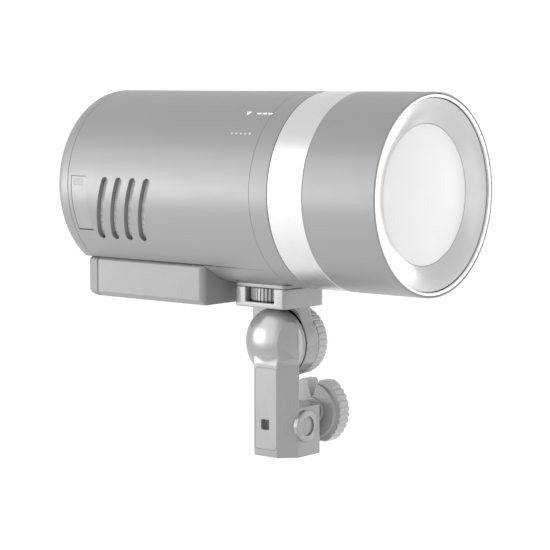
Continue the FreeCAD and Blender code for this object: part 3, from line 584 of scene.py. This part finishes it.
def housing_parts():
    (start, end) = extent("housing_shell")[1]
    shell = lathe([(SHELL_BORE, start), (LAMP_R, start, 0.1), (LAMP_R, end, 0.2), (SHELL_BORE, end)],
                  segments=SMOOTH)
    battery = extent("battery_case")
    yoke = extent("mount_yoke")
    tools = [
        block((-60, 60), (battery[1][0] - 0.1, end + 1), (60, 88.0)),
        block((-14.4, 14.4), (yoke[1][0], 20.8), (70, 102)),
        sector(-28.2, 6.16, (86.54, 96.06)),
    ]
    tools += [vent(index, side) for index in range(4) for side in (-1, 1)]
    cut(shell, *tools)
    soften(shell, 0.16, 2)
    piece("housing", shell, "lamp", "casing", CASING, "housing_shell")

    start, end = extent("rear_bezel")[1]
    lip = start + 3.9
    ring = lathe([
        (41.9, lip), (LAMP_R, lip, 0.25), (LAMP_R, end, 5.9), (36.7, end, 0.5), (36.7, 104.0),
        (35.3, 104.0), (35.3, 102.0), (40.3, 102.0), (40.3, start), (41.9, start),
    ], segments=SMOOTH)
    shelf = cut(rod(40.8, lip, end - 0.4, "y", (0, LAMP_Z), 192),
                block((-60, 60), (start, end + 1), (93.2, 200)))
    cut(ring, block((-60, 60), (start - 1, lip), (60, 93.2)))
    joined(ring, shelf)
    channels = []
    for side in (-16.0, 16.0):
        channels.append(block((side - 1.9, side + 1.9), (start, end + 1), (87, 90)))
        channels.append(block((side - 3.9, side + 3.9), (start, end + 1), (89.8, 92.1)))
    cut(ring, block((-60, 60), (start, end + 1), (60, 88)), *channels)
    soften(ring, 0.25, 2)
    piece("rear_ring", ring, "lamp", "casing", BEZEL, "rear_bezel")


def port_flap():
    start, end = extent("port_cover")[1]
    skin = lathe([(42.5, start), (44.33, start), (44.33, end), (42.5, end)], segments=SMOOTH)
    combine(skin, "INTERSECT", [sector(-26.7, 6.0, (start - 1, end + 1))])
    bead = rod(0.95, start, end, "y", on_lamp(-26.7, 43.4), 32)
    joined(skin, bead)
    grooves = [prism([(x - 0.35, z - 0.25), (x + 0.35, z - 0.25), (x + 0.35, z + 0.25),
                      (x - 0.35, z + 0.25)], start + 1.5, end - 1.5, "y")
               for x, z in [on_lamp(angle, LAMP_R) for angle in (1.0, 2.6, 4.2)]]
    cut(skin, *grooves)
    soften(skin, 0.1, 2)
    piece("port_flap", skin, "port_cover", "button_rubber", FLAP, "port_cover")


def patch(bm, low, high, y0, y1, radius, taper=0.0):
    """A thin raised print on the housing between two angles; taper pulls in its lower edge."""
    steps = max(2, int(abs(high - low) * 2))
    layers = []
    for depth in (radius - 0.05, radius):
        rows = []
        for step in range(steps + 1):
            t = step / steps
            x, z = on_lamp(low + (high - low) * t, depth)
            pull = (1 - t) * taper * (y1 - y0) / 2
            rows.append([bm.verts.new((x, y0 + pull, z)), bm.verts.new((x, y1 - pull, z))])
        layers.append(rows)
    under, over = layers
    for step in range(steps):
        bm.faces.new((over[step][0], over[step][1], over[step + 1][1], over[step + 1][0]))
        bm.faces.new((under[step][0], under[step + 1][0], under[step + 1][1], under[step][1]))
        for side in (0, 1):
            bm.faces.new((under[step][side], over[step][side],
                          over[step + 1][side], under[step + 1][side]))
    for step in (0, steps):
        bm.faces.new((under[step][0], under[step][1], over[step][1], over[step][0]))


def marks():
    """Index marks for the lock ring: a triangle and short bars, and faint ticks below."""
    top = LAMP_R + 0.04
    bm = bmesh.new()
    patch(bm, 49.8, 52.6, -0.8, 2.0, top, 0.92)
    for start in (-4.4, -7.6, -10.8):
        patch(bm, 50.6, 51.8, start - 2.4, start, top)
    piece("index_marks", shape(bm), "lamp", "casing", PRINT)
    bm = bmesh.new()
    for index in range(5):
        patch(bm, 35.2, 36.2, 3.0 - index * 2.6, 3.9 - index * 2.6, top)
    piece("faint_ticks", shape(bm), "lamp", "casing", FAINT)


# ---------------------------------------------------------------- rear controls
def rear_parts():
    face = 106.05
    panel = rod(36.5, 104.0, face, "y", (0, LAMP_Z), 192)
    low, high = 127.0, 149.0
    window = [(-21.15, low - 0.15, 2.0), (21.15, low - 0.15, 2.0),
              (21.15, high + 0.15, 2.0), (-21.15, high + 0.15, 2.0)]
    spots = {"power_button": (22.5, 113.5), "menu_button": (-22.5, 113.5),
             "test_button": (20.0, 100.5), "lamp_button": (-20.0, 100.5)}
    tools = [block((-60, 60), (90, 120), (60, 93.4)), prism(window, 100, 110, "y"),
             rod(11.05, 100, 110, "y", (0, 109), 128)]
    tools += [rod(4.35, 100, 110, "y", spot, 64) for spot in spots.values()]
    cut(panel, *tools)
    soften(panel, 0.25, 3, merge=True)
    piece("control_panel", panel, "lamp", "black_plastic", BLACK, "rear_panel")

    pane = [(-21, low, 2.0), (21, low, 2.0), (21, high, 2.0), (-21, high, 2.0)]
    glass = soften(prism(pane, 104.6, face, "y"), 0.2, 3)
    piece("display_glass", glass, "lamp", "display_pane", PANE, "display_window")

    def knurl(angle, radius):
        return -0.28 * max(0.0, math.cos(40 * angle)) ** 3 if radius > 10.4 else 0.0

    dial = lathe([(5.25, 102.4), (8.0, 102.4, 0.2), (8.0, 104.6), (10.8, 104.6, 0.2), (10.8, 107.8, 0.7),
                  (5.9, 107.8, 0.3), (5.25, 107.2, 0.2)], "y", (0, 109), 480, knurl)
    piece("dial", dial, "select_dial", "black_plastic", KNOB, "select_dial")

    for name, (x, z) in spots.items():
        tip = 106.9
        cap = [(0.0, tip), (1.6, tip - 0.06), (2.9, tip - 0.22), (4.1, tip - 0.5, 0.35),
               (4.1, 103.8), (5.1, 103.8), (5.1, 102.5), (0.0, 102.5)]
        key = lathe(cap, "y", (x, z), 96)
        piece(name.replace("_button", "_key"), key, name, "button_rubber", BUTTON, name)
    tip = 107.7
    cap = [(0.0, tip - 0.35), (2.4, tip - 0.3), (3.6, tip - 0.12), (4.2, tip, 0.3), (5.0, tip - 0.4, 0.3),
           (5.0, 102.9), (0.0, 102.9)]
    piece("set_key", lathe(cap, "y", (0, 109), 96), "set_button", "button_rubber", BUTTON, "set_button")
    icons(spots, face)


def icons(spots, face):
    """Plain generic symbols beside the keys and on the display."""
    def strip(bm, x, z, width, height, level, turn=0.0):
        cos, sin = math.cos(turn), math.sin(turn)
        corners = [(-width / 2, -height / 2), (width / 2, -height / 2),
                   (width / 2, height / 2), (-width / 2, height / 2)]
        spots = [(x + u * cos - v * sin, z + u * sin + v * cos) for u, v in corners]
        under = [bm.verts.new((u, level - 0.05, v)) for u, v in spots]
        over = [bm.verts.new((u, level + 0.03, v)) for u, v in spots]
        bm.faces.new(over)
        bm.faces.new(under[::-1])
        for index in range(4):
            bm.faces.new((under[index - 1], under[index], over[index], over[index - 1]))

    def arc(bm, x, z, radius, start, end, width, level, steps=14):
        for step in range(steps):
            middle = math.radians(start + (end - start) * (step + 0.5) / steps)
            length = math.radians(abs(end - start)) / steps * radius * 1.15
            strip(bm, x + radius * math.cos(middle), z + radius * math.sin(middle),
                  width, length, level, middle)

    bm = bmesh.new()
    x, z = spots["power_button"]
    arc(bm, x, z + 8.0, 1.3, -240, 60, 0.3, face)
    strip(bm, x, z + 9.2, 0.3, 1.5, face)
    x, z = spots["menu_button"]
    for level in (-0.8, 0.0, 0.8):
        strip(bm, x, z + 8.0 + level, 2.6, 0.32, face)
    x, z = spots["test_button"]
    for turn in range(3):
        strip(bm, x + 6.2, z + 0.5, 0.3, 2.6, face, math.radians(60 * turn))
    x, z = spots["lamp_button"]
    arc(bm, x - 6.2, z + 0.5, 1.0, 0, 360, 0.3, face)
    piece("key_symbols", shape(bm), "lamp", "black_plastic", PRINT)

    bm = bmesh.new()
    for index in range(9):
        strip(bm, -14.4 + index * 3.6, 130.6, 2.4, 1.0 + 0.25 * index, face)
    for index, height in enumerate((3.2, 3.2)):
        strip(bm, -13.5 + 27.0 * index, 143.6, 5.0, 0.35, face)
        strip(bm, -13.5 + 27.0 * index, 143.6 - height / 2, 5.0, 0.35, face)
    arc(bm, 0.0, 141.6, 3.6, 0, 360, 0.45, face, 28)
    strip(bm, 0.0, 142.9, 0.45, 2.6, face)
    strip(bm, 0.9, 141.6, 1.8, 0.45, face)
    piece("display_symbols", shape(bm), "lamp", "display_pane", PRINT)


# ---------------------------------------------------------------- battery
def battery_parts():
    x, y, _ = extent("battery_case")
    floor, top = BATTERY_FLOOR, BATTERY_TOP
    rear = 95.2
    section = [(x[0] + 2.2, floor), (x[1] - 2.2, floor), (x[1], floor + 2.0), (x[1], top - 1.3),
               (x[1] - 1.5, top), (x[0] + 1.5, top), (x[0], top - 1.3), (x[0], floor + 2.0)]
    outline = [(x[0], y[0], 3.0), (x[1], y[0], 3.0), (x[1], rear), (x[0], rear)]
    case = combine(prism(outline, floor, top, "z"), "INTERSECT",
                   [prism(section, y[0] - 1, rear + 1, "y")])
    rails = []
    for side in (-16.0, 16.0):
        rails.append(block((side - 1.5, side + 1.5), (y[0] + 1.6, rear - 1.9), (top - 0.5, 90.2)))
        rails.append(block((side - 3.5, side + 3.5), (y[0] + 1.6, rear - 1.9), (90.1, 91.8)))
    cut(case, block((x[0] + 2, x[1] - 2), (y[0] + 2, rear + 1), (floor + 2, top - 2)))
    joined(case, *rails)
    cut(case, *[block((u - 1.3, u + 1.3), (31.9, 37.9), (top - 0.5, top + 1))
                for u in (-6.0, -2.0, 2.0, 6.0)])
    soften(case, 0.5, 3, merge=True)
    piece("battery_shell", case, "battery", "battery_shell", BATTERY, "battery_case")

    start, end = 95.3, 100.8
    outline = [(start, floor, 0.4), (end, floor, 4.0), (end, top, 0.8), (start, top, 0.4)]
    cap = combine(prism(outline, x[0], x[1], "x"), "INTERSECT", [prism(section, start - 1, end + 1, "y")])
    cut(cap, prism([(-8.2, 73.8, 1.4), (8.2, 73.8, 1.4), (8.2, 82.2, 1.4), (-8.2, 82.2, 1.4)],
                   90, 110, "y"))
    soften(cap, 0.6, 3, merge=True)
    piece("battery_end", cap, "battery", "battery_shell", END_CAP_PAINTED_SHADE, "battery_end_cap")

    latch = prism([(-8, 74, 1.2), (8, 74, 1.2), (8, 82, 1.2), (-8, 82, 1.2)], 94.3, 101.4, "y")
    joined(latch, block((-9.2, 9.2), (93.6, 95.1), (72.8, 83.2)))
    cut(latch, *[block((-6, 6), (101.0, 102), (z, z + 0.7)) for z in (75.8, 77.6, 79.4)])
    soften(latch, 0.2, 2)
    piece("latch_key", latch, "battery_latch", "latch", LATCH, "battery_latch")


# ---------------------------------------------------------------- yoke and thumbwheel
def plan(half, y0, y1, radius):
    return [(-half, y0, radius), (half, y0, radius), (half, y1, radius), (-half, y1, radius)]


def yoke_parts():
    y0, y1 = -9.2, 20.8
    floor, top = 68.6, 77.9
    body = prism(plan(14.4, y0, y1, 2.0), floor, top, "z")
    ear = rod(16.5, -3.3, 5.0, "x", PIVOT, 160)
    neck = prism([(y0 + 1.5, floor + 1), (y1 - 1.5, floor + 1), (PIVOT[0] + 16.5, PIVOT[1]),
                  (PIVOT[0] - 16.5, PIVOT[1])], -3.3, 5.0, "x")
    joined(body, ear, neck)
    tools = [rod(13.9, 71.2, top + 1, "z", (0, WHEEL_Y), 128),
             block((-20, 20), (WHEEL_Y - 8.4, WHEEL_Y + 8.4), (71.2, top + 1)),
             rod(4.0, -20, 20, "x", PIVOT, 64)]
    tools += [rod(1.25, 70, top + 1, "z", (x, y), 32)
              for x in (-11.3, 11.3) for y in (y0 + 3.2, y1 - 3.2)]
    cut(body, *tools)
    soften(body, 0.55, 3)
    piece("yoke", body, "lamp", "bracket_metal", ARM, "mount_yoke")

    plate = cut(prism(plan(14.2, y0 + 0.2, y1 - 0.2, 2.0), top, 79.7, "z"),
                rod(3.42, 70, 90, "z", (0, WHEEL_Y), 64))
    soften(plate, 0.35, 3)
    piece("top_plate", plate, "lamp", "panel_metal", PANEL, "yoke_plate")
    pad = cut(prism(plan(14.0, y0 + 0.4, y1 - 0.4, 2.0), 79.7, 80.5, "z"),
              rod(3.62, 70, 90, "z", (0, WHEEL_Y), 64))
    soften(pad, 0.2, 2)
    piece("rubber_pad", pad, "lamp", "button_rubber", RUBBER, "yoke_pad")

    def teeth(angle, radius):
        return -0.75 * max(0.0, math.cos(44 * angle)) ** 2 if radius > 12.5 else 0.0

    wheel = lathe([(3.2, 71.4, 0.2), (13.6, 71.4, 0.6), (13.6, 77.7, 0.6), (3.2, 77.7, 0.2)],
                  "z", (0, WHEEL_Y), 528, teeth)
    piece("knurled_wheel", wheel, "thumbwheel", "wheel_metal", WHEEL, "thumbwheel")


# ---------------------------------------------------------------- bracket and knobs
HEAD_R = 16.2


def neck_fillet(side, edge):
    """Fills the corner between the round head and the stem's edge with a smooth hollow."""
    radius = 9.0
    centre_y = edge + side * radius
    across = centre_y - PIVOT[0]
    reach = HEAD_R + radius
    centre_z = PIVOT[1] - math.sqrt(reach * reach - across * across)
    first = math.pi if side > 0 else 0.0
    touch = math.atan2(PIVOT[1] - centre_z, PIVOT[0] - centre_y)
    points = []
    for step in range(11):
        angle = first + (touch - first) * step / 10
        points.append((centre_y + radius * math.cos(angle), centre_z + radius * math.sin(angle)))
    return points + [(edge - side * 4, PIVOT[1] - 8), (edge - side * 4, centre_z)]


def hexagon(reach):
    """A hexagon round the tilt axis; reach is from the axis to a corner."""
    turns = [math.radians(60 * index) for index in range(6)]
    return [(PIVOT[0] + reach * math.cos(turn), PIVOT[1] + reach * math.sin(turn)) for turn in turns]


def bracket_parts():
    outer, inner, step = -13.4, -6.0, -6.4
    half, reach, tip, rise = 10.7, HEAD_R, -14.0, 7.2

    def dome_at(across):
        """X of the head's dome at that distance from the tilt axis."""
        return tip + rise * (1 - math.sqrt(max(0.0, 1 - (across / reach) ** 2)))

    dome = [(0.0, tip)]
    for index in range(1, 13):
        across = reach * math.sin(math.radians(7.2 * index))
        dome.append((across, dome_at(across)))
    head = lathe(dome + [(reach, outer + 7.0), (reach, -4.0, 0.5), (0.0, -4.0)], "x", PIVOT, 160)
    facet = [(step - 14.0, 14.0 - half), (step, -half), (step, -30.0), (-30.0, -30.0)]
    cut(head, prism(facet, 0, 80, "z"))

    # the stem's outer face is flat, and sinks into the dome where the dome stands back from it
    def plan_stem(z, sink):
        def sunk(y):
            back = dome_at(math.hypot(y - PIVOT[0], z - PIVOT[1])) + 0.02 - outer
            return outer + max(0.0, back) * sink

        corner = -3.7
        for _ in range(6):
            corner = step - half - sunk(corner)
        face = []
        for index in range(17):
            y = half - 0.9 + (corner - half + 0.9) * index / 16
            face.append((sunk(y), y))
        return face[:-1] + [face[-1] + (1.0,), (step, -half, 0.5), (inner, -half), (inner, half, 0.6),
                            (outer + 1.9, half, 1.0)]

    levels = [(1.5, plan_stem(1.5, 0.0))]
    for index in range(11):
        t = index / 10
        level = 42.5 + 6.0 * t
        levels.append((level, plan_stem(level, min(1.0, t * t * (3 - 2 * t)))))
    stem = loft(levels)
    plan_block = [(outer, half - 0.9, 1.2), (outer, -3.7, 1.4), (step, -half, 1.2), (9.4, -half, 1.5),
                  (13.4, -half + 4.0, 1.0), (13.4, half - 3.0, 1.0), (10.4, half, 1.0),
                  (outer + 1.6, half, 1.0)]
    foot = soften(prism(plan_block, 0.0, 23.0, "z"), 0.5, 3, 50.0)
    boss = lathe([(0.0, -half - 1.5), (7.3, -half - 1.5, 0.6), (7.3, -half + 1.0), (0.0, -half + 1.0)],
                 "y", (-1.5, 14.3), 96)
    fillet = prism(neck_fillet(1, half), outer + 4.5, inner, "x")
    joined(stem, head, foot, boss, fillet)
    tools = [
        rod(4.6, -half - 2.0, -half - 0.7, "y", (-1.5, 14.3), 96),
        prism([(0.8, 12.4, 0.6), (5.8, 12.4, 0.6), (5.8, 17.4, 0.6), (0.8, 17.4, 0.6)],
              outer - 1, outer + 3.0, "x"),
        prism([(-3.3, 3.4, 1.5), (9.3, 3.4, 1.5), (9.3, 41.1, 1.5), (-3.3, 41.1, 1.5)],
              outer - 1, outer + 1.0, "x"),
        rod(8.05, -1, 19.0, "z", (0, 0), 128),
        rod(4.0, 6, 20, "x", CLAMP, 64),
        rod(4.6, 5.4, 10, "x", CLAMP, 64),
        rod(4.13, -11.6, 0, "x", PIVOT, 64),
        prism(hexagon(7.6), -10.0, 0, "x"),
    ]
    cut(stem, *tools)
    piece("arm", stem, "bracket", "bracket_metal", ARM, "bracket_arm", crease=20)

    panel = prism([(-3.2, 3.5, 1.5), (9.2, 3.5, 1.5), (9.2, 41.0, 1.5), (-3.2, 41.0, 1.5)],
                  outer, outer + 0.9, "x")
    cut(panel, prism([(0.9, 12.5, 0.6), (5.7, 12.5, 0.6), (5.7, 17.3, 0.6), (0.9, 17.3, 0.6)],
                     outer - 1, outer + 2, "x"))
    soften(panel, 0.1, 2)
    piece("side_panel", panel, "bracket", "panel_metal", PANEL, "arm_panel")


def wing_outline():
    """The wing knob seen along X: a disc with two flats, a notch in each, and fluted ends."""
    size, flat, tip, flute, flute_at = 16.0, 14.3, 5.0, 0.9, 16.35
    edge = 4.4 * (flat - tip) / (18.0 - tip)
    reach = math.degrees(math.atan2(flat, edge))
    half = []
    for index in range(157):
        angle = -reach + 2 * reach * index / 156
        turn = math.radians(angle)
        radius = min(size, flat / max(abs(math.sin(turn)), 1e-6))
        off = math.radians(angle - 11.0 * max(-4, min(4, round(angle / 11.0))))
        across = flute_at * math.sin(off)
        if abs(across) < flute:
            radius = min(radius, flute_at * math.cos(off) - math.sqrt(flute ** 2 - across ** 2))
        half.append((radius * math.cos(turn), radius * math.sin(turn)))
    return half + [(0.0, tip, 0.8)] + [(-y, -z) for y, z in half] + [(0.0, -tip, 0.8)]


def knob_parts():
    def flutes(angle, radius):
        return -0.42 * max(0.0, -math.cos(32 * angle)) ** 2 if radius > 14.0 else 0.0

    near, far = 5.95, 13.0
    knob = lathe([(8.7, far - 1.0), (4.0, far - 1.0), (4.0, near, 0.2), (16.0, near, 0.6),
                  (16.0, far, 1.3), (13.5, far, 0.3), (12.6, far - 0.5, 0.4), (9.6, far - 0.5, 0.3),
                  (8.7, far, 0.2)], "x", PIVOT, 512, flutes)
    cut(knob, prism(hexagon(7.45), 8.4, far, "x"))
    piece("tilt_grip", knob, "tilt_knob", "black_plastic", KNOB, "tilt_knob")
    cap = lathe([(0.0, far + 0.7), (8.6, far + 0.7, 0.5), (8.6, far - 0.95, 0.1), (0.0, far - 0.95)],
                "x", PIVOT, 128)
    piece("grip_cap", cap, "tilt_knob", "panel_metal", PANEL, "knob_cap")

    near, far = 17.0, 25.0
    outline = [(CLAMP[0] + y, CLAMP[1] + z, *radius) for y, z, *radius in wing_outline()]
    disc = prism(outline, near, far, "x")
    cut(disc, lathe([(13.0, 0), (30, 0), (30, near + 1.2), (13.0, near + 1.2)], "x", CLAMP, 128))
    hub = lathe([(0.0, near - 0.7), (6.4, near - 0.7, 0.6), (6.4, far - 0.4), (0.0, far - 0.4)],
                "x", CLAMP, SMOOTH)
    joined(disc, hub)
    cut(disc, rod(3.94, 0, far - 0.9, "x", CLAMP, 64))
    soften(disc, 0.22, 2)
    piece("wing_grip", disc, "wing_knob", "black_plastic", KNOB, "wing_knob", crease=20)


front_parts()
housing_parts()
port_flap()
marks()
rear_parts()
battery_parts()
yoke_parts()
bracket_parts()
knob_parts()

# ---------------------------------------------------------------- pieces carried over from the CAD
CARRIED = {
    "glass_retainer": BLACK, "reflector_dish": DISH, "flash_tube": QUARTZ, "tube_base": CERAMIC,
    "modelling_led": LED, "heat_sink": ALUMINIUM, "vent_mesh": GRILLE_PAINTED_LIGHT, "battery_deck": CASING,
    "contact_pins": BRASS, "mount_foot": ALUMINIUM, "main_board": BOARD, "capacitors": SLEEVE,
    "charge_transformer": COMPONENT, "fan_frame": BLACK, "fan_rotor": BLACK, "port_board": BOARD,
    "usb_socket": STEEL, "sync_socket": COMPONENT, "display_module": COMPONENT, "control_board": BOARD,
    "dial_encoder": COMPONENT, "battery_contacts": BRASS, "battery_cells": CELL, "plate_screws": STEEL,
    "mount_screw": STEEL, "pivot_nut": STEEL, "tilt_bolt": STEEL, "tilt_washer": STEEL,
    "knob_washer": STEEL, "clamp_pad": BRASS, "clamp_screw": STEEL,
}
for node, material in CARRIED.items():
    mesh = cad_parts[node].data
    mesh.materials.clear()
    mesh.materials.append(material)


# ---------------------------------------------------------------- floor, light, sky
FLOOR_Z = -0.35
FLOOR_RADIUS = 40.0
SKY_STRENGTH = 1.12
LIT_POINT = (0, 0, 0.11)
# name, direction from the lit point, distance, width, height and power
LIGHTS = [
    ("key", (-0.61, 0.79, -0.03), 1.15, 0.46, 0.28, 3.4),
    ("band", (-0.79, 0.61, 0.23), 1.15, 0.80, 0.95, 5.1),
    ("side", (0.98, -0.16, 0.02), 1.4, 0.6, 0.6, 4.8),
    ("front", (0.17, -0.98, -0.10), 1.4, 0.8, 0.8, 1.0),
    ("fill", (0.77, -0.63, -0.08), 1.5, 1.0, 0.8, 0.8),
]


def stage_and_light():
    bm = bmesh.new()
    bmesh.ops.create_circle(bm, cap_ends=True, radius=FLOOR_RADIUS, segments=96)
    mesh = bpy.data.meshes.new("floor")
    bm.to_mesh(mesh)
    bm.free()
    floor = bpy.data.objects.new("floor", mesh)
    floor.location.z = FLOOR_Z
    bpy.context.scene.collection.objects.link(floor)
    g = Graph("pale_floor")
    g.put("Base Color", g.mixed(g.ranged(g.noise(6.0), 0.0, 1.0), grey(248), grey(246)))
    g.put("Roughness", 0.9)
    g.put("Specular IOR Level", 0.1)
    g.put("Emission Color", grey(255))
    g.put("Emission Strength", 0.02)
    mesh.materials.append(g.material)

    target = Vector(LIT_POINT)
    for name, direction, distance, width, height, power in LIGHTS:
        data = bpy.data.lights.new(name, "AREA")
        data.shape = "RECTANGLE"
        data.size = width
        data.size_y = height
        data.energy = power
        light = bpy.data.objects.new(name, data)
        back = Vector(direction).normalized()
        light.location = target + back * distance
        light.rotation_mode = "QUATERNION"
        light.rotation_quaternion = (-back).to_track_quat("-Z", "Y")
        light.visible_camera = False
        bpy.context.scene.collection.objects.link(light)

    world = bpy.data.worlds.new("world")
    bpy.context.scene.world = world
    world.use_nodes = True
    sky = world.node_tree.nodes["Background"]
    sky.inputs["Color"].default_value = (1, 1, 1, 1)
    sky.inputs["Strength"].default_value = SKY_STRENGTH
    bpy.context.scene.view_settings.view_transform = "Standard"


stage_and_light()
